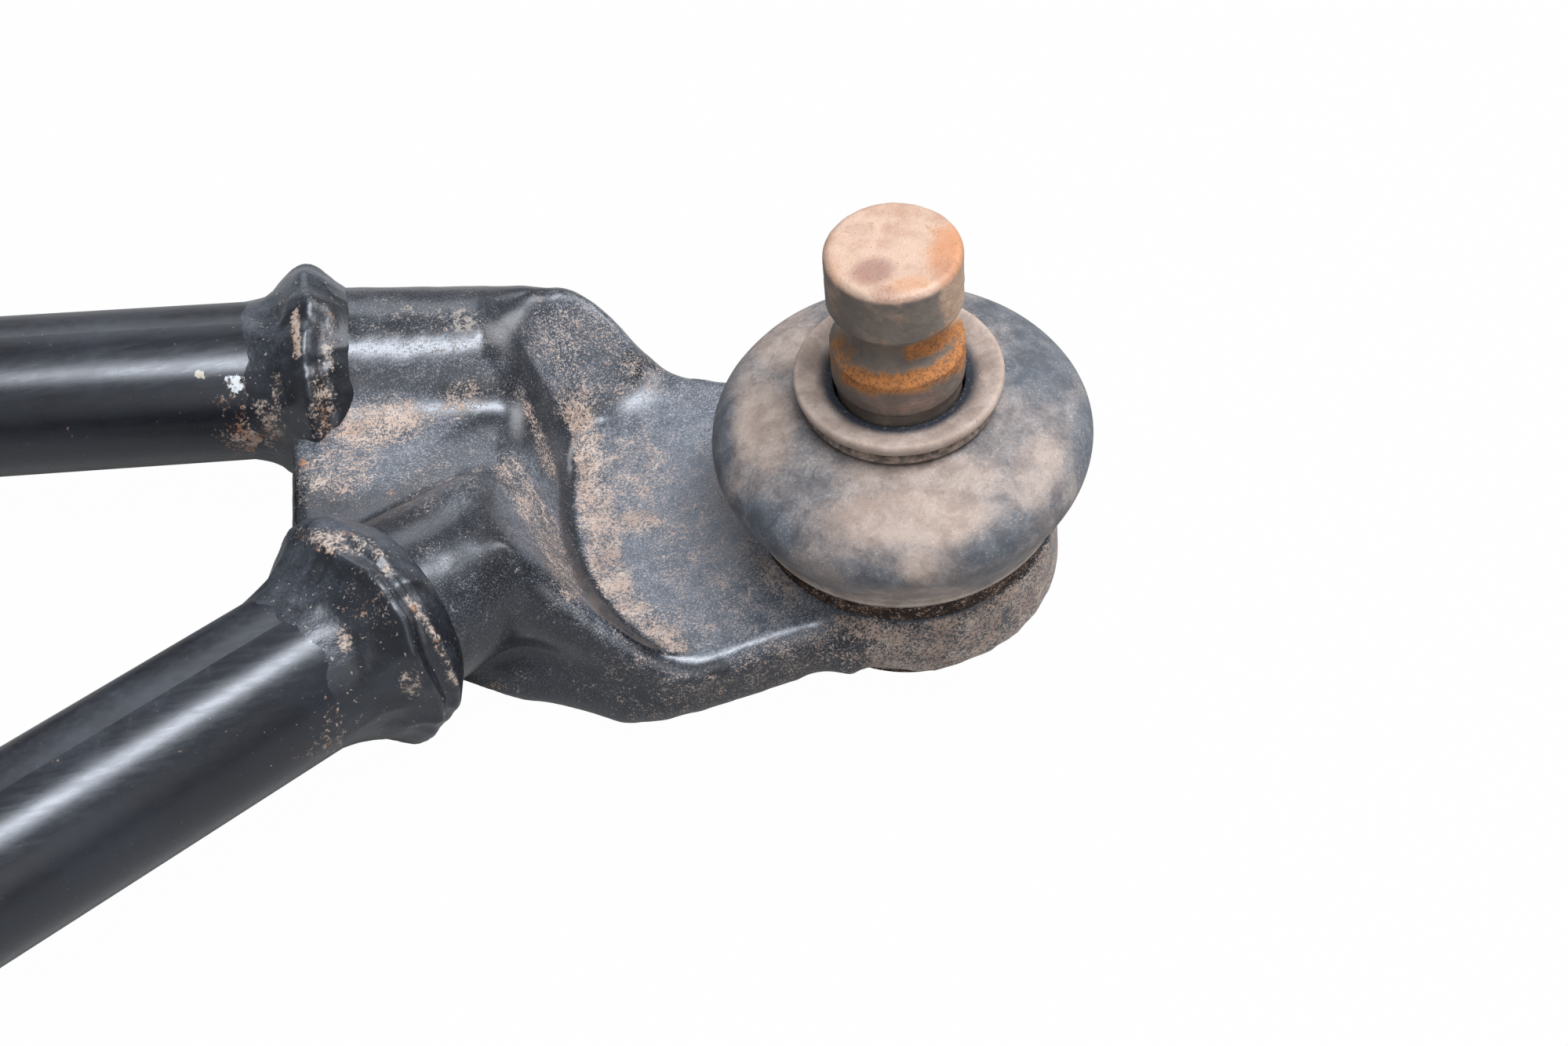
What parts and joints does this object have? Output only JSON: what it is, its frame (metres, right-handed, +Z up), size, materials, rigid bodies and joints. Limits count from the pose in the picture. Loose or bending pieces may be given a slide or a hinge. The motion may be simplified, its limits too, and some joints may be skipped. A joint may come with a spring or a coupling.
{
  "type": "a-arm",
  "caption": "Lower suspension arm: a forged knuckle with a booted ball joint, welded to tubular legs that end in bushed pivot sleeves",
  "frame": {"origin": "on the ball stud's axis, at the middle height of its pinch-bolt groove", "axes": "the two legs lie level in X and Y and run inboard along -X, +Z is up, and the rear leg is on +Y; the ball stud points up and leans 8.5 degrees inboard"},
  "size_m": [0.3741, 0.264, 0.0706],
  "materials": {
    "forged_steel": "satin",
    "painted_tube": "satin",
    "weld_paint": "satin",
    "stud_steel": "matte",
    "shell_steel": "matte",
    "cap_steel": "matte",
    "spring_steel": "satin",
    "race_plastic": "matte",
    "boot_rubber": "matte",
    "bush_plastic": "matte",
    "collar_steel": "satin"
  },
  "bodies": {
    "arm": {"knuckle_forging": "forged_steel", "ball_joint_shell": "shell_steel", "ball_joint_end_cap": "cap_steel", "snap_ring": "spring_steel", "rear_tube": "painted_tube", "rear_spigot_weld": "weld_paint", "rear_pivot_sleeve": "painted_tube", "rear_pivot_weld": "weld_paint", "rear_bush_outer": "bush_plastic", "rear_bush_inner": "bush_plastic", "front_tube": "painted_tube", "front_spigot_weld": "weld_paint", "front_pivot_sleeve": "painted_tube", "front_pivot_weld": "weld_paint", "front_bush_outer": "bush_plastic", "front_bush_inner": "bush_plastic"},
    "race": {"ball_race": "race_plastic", "dust_boot": "boot_rubber"},
    "neck_ring": {"boot_neck_ring": "spring_steel"},
    "stud": {"ball_stud": "stud_steel"},
    "rear_collar": {"rear_pivot_collar": "collar_steel"},
    "front_collar": {"front_pivot_collar": "collar_steel"}
  },
  "joints": [
    {"name": "stud_azimuth", "type": "hinge", "parent": "arm", "child": "race", "pos_m": [0.00621, 0, -0.04154], "axis": [-0.1478, 0, 0.989], "continuous": true},
    {"name": "stud_tilt", "type": "hinge", "parent": "race", "child": "neck_ring", "pos_m": [0.00621, 0, -0.04154], "axis": [0, 1, 0], "range_deg": [-24, 24], "deforming": ["dust_boot"]},
    {"name": "stud_spin", "type": "hinge", "parent": "neck_ring", "child": "stud", "pos_m": [0.00621, 0, -0.04154], "axis": [-0.1478, 0, 0.989], "continuous": true},
    {"name": "rear_pivot_turn", "type": "hinge", "parent": "arm", "child": "rear_collar", "pos_m": [-0.33, 0.1045, -0.0365], "axis": [0, 1, 0], "continuous": true},
    {"name": "front_pivot_turn", "type": "hinge", "parent": "arm", "child": "front_collar", "pos_m": [-0.33, -0.1045, -0.0365], "axis": [0, 1, 0], "continuous": true}
  ]
}
